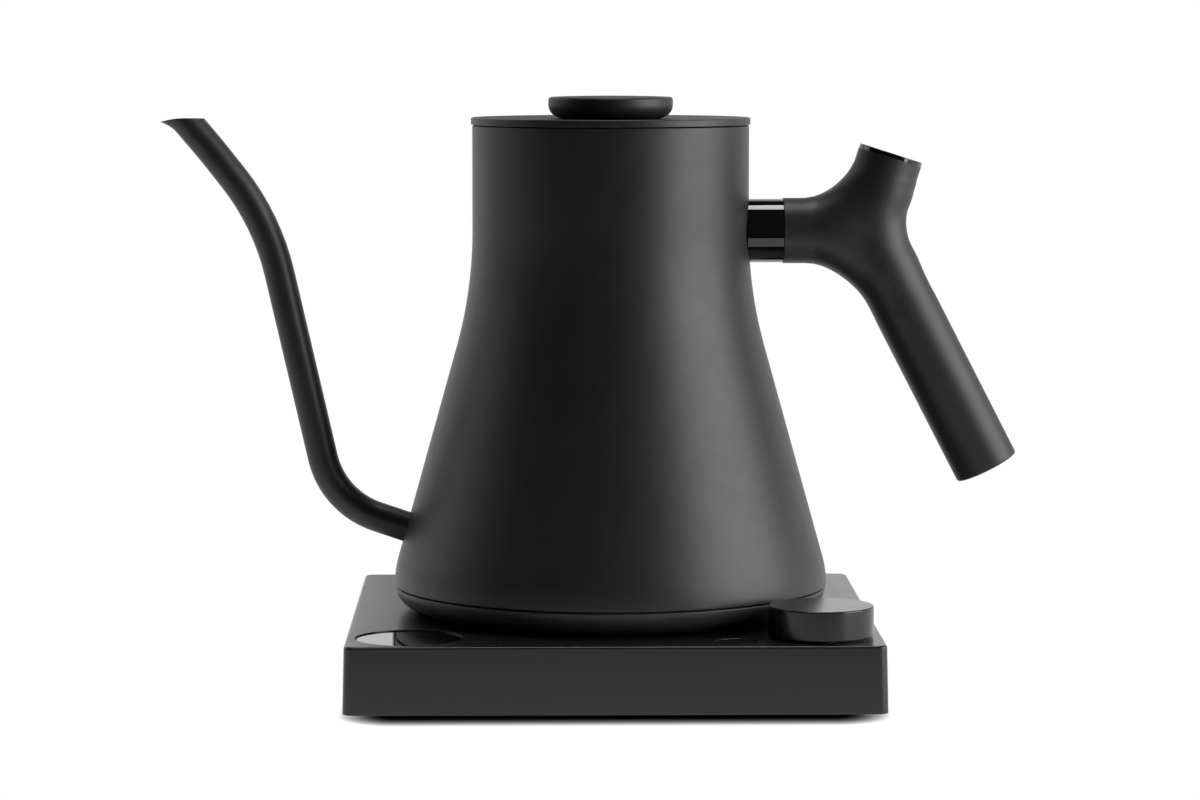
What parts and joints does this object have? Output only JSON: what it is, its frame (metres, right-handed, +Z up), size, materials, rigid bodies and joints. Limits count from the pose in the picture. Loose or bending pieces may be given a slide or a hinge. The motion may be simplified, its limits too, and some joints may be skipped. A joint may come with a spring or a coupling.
{
  "type": "electric kettle",
  "caption": "Gooseneck electric kettle with a conical body, thin bent spout and three-way round handle, standing on a square heated base with a display and a knob.",
  "frame": {"origin": "middle of the bounding box at table height, under the whole object", "axes": "+Z up, +X towards the handle, -X towards the spout, -Y the front with the controls"},
  "size_m": [0.2958, 0.179, 0.2037],
  "materials": {
    "coated_steel": "matte black powder coat with a fine grain",
    "black_moulding": "matte black moulded plastic",
    "gloss_black": "polished black plastic",
    "smoked_window": "dark glossy window",
    "display": "unlit display glass",
    "black_rubber": "soft matte rubber",
    "silicone": "grey food-grade silicone",
    "stainless": "brushed stainless steel",
    "aluminium": "rolled aluminium",
    "brass": "plain brass contacts",
    "zinc_steel": "zinc-plated steel",
    "circuit_board": "green board",
    "component": "black component case"
  },
  "bodies": {
    "base": {"base_cover": "black_moulding", "base_plate": "black_moulding", "foot_1": "black_rubber", "foot_2": "black_rubber", "foot_3": "black_rubber", "foot_4": "black_rubber", "base_screw_1": "zinc_steel", "base_screw_2": "zinc_steel", "base_screw_3": "zinc_steel", "base_screw_4": "zinc_steel", "display_lens": "smoked_window", "display_panel": "display", "display_gasket": "black_rubber", "main_board": "circuit_board", "buzzer": "component", "power_board": "circuit_board", "relay": "component", "transformer": "component", "base_connector": "black_moulding", "base_earth_contact": "brass", "base_live_contact": "brass", "encoder_body": "zinc_steel", "encoder_nut": "zinc_steel", "menu_switch": "component", "cord_gland": "black_rubber"},
    "washer": {"connector_washer": "black_moulding"},
    "kettle": {"kettle_shell": "coated_steel", "spout_tube": "coated_steel", "floor_pan": "stainless", "heat_spreader": "aluminium", "heating_element": "stainless", "temperature_probe": "stainless", "probe_seal": "silicone", "thermal_cutout": "component", "kettle_connector": "black_moulding", "connector_earth_pin": "brass", "connector_contact_ring": "brass", "bottom_cap": "black_moulding", "bottom_cap_seal": "black_rubber", "bottom_cap_screw_1": "zinc_steel", "bottom_cap_screw_2": "zinc_steel", "bottom_cap_screw_3": "zinc_steel", "handle_armature": "stainless", "handle_collar": "gloss_black", "handle_shell": "black_moulding", "handle_cap": "gloss_black", "handle_screw": "zinc_steel", "handle_counterweight": "zinc_steel", "grip_end_plug": "black_moulding"},
    "lid": {"lid_plate": "black_moulding", "lid_skirt": "black_moulding", "lid_seal": "silicone", "lid_knob": "black_moulding", "lid_knob_screw": "zinc_steel"},
    "plunger": {"encoder_plunger": "component"},
    "knob": {"control_knob": "black_moulding", "knob_shaft": "zinc_steel"},
    "button": {"menu_button": "black_moulding"}
  },
  "joints": [
    {"name": "kettle_turn", "type": "hinge", "parent": "base", "child": "washer", "pos_m": [0.00722, 0, 0.0256], "axis": [0, 0, 1], "continuous": true},
    {"name": "kettle_lift", "type": "slide", "parent": "washer", "child": "kettle", "axis": [0, 0, 1], "range_m": [0, 0.12]},
    {"name": "lid_lift", "type": "slide", "parent": "kettle", "child": "lid", "axis": [0, 0, 1], "range_m": [0, 0.06]},
    {"name": "knob_press", "type": "slide", "parent": "base", "child": "plunger", "axis": [0, 0, -1], "range_m": [0, 0.0005], "stiffness_N_per_m": 4000, "springref_m": -0.0005},
    {"name": "knob_turn", "type": "hinge", "parent": "plunger", "child": "knob", "pos_m": [0.07583, -0.068, 0.0256], "axis": [0, 0, 1], "continuous": true},
    {"name": "button_press", "type": "slide", "parent": "base", "child": "button", "axis": [0, 0, -1], "range_m": [0, 0.0005], "stiffness_N_per_m": 3000, "springref_m": -0.0005}
  ]
}
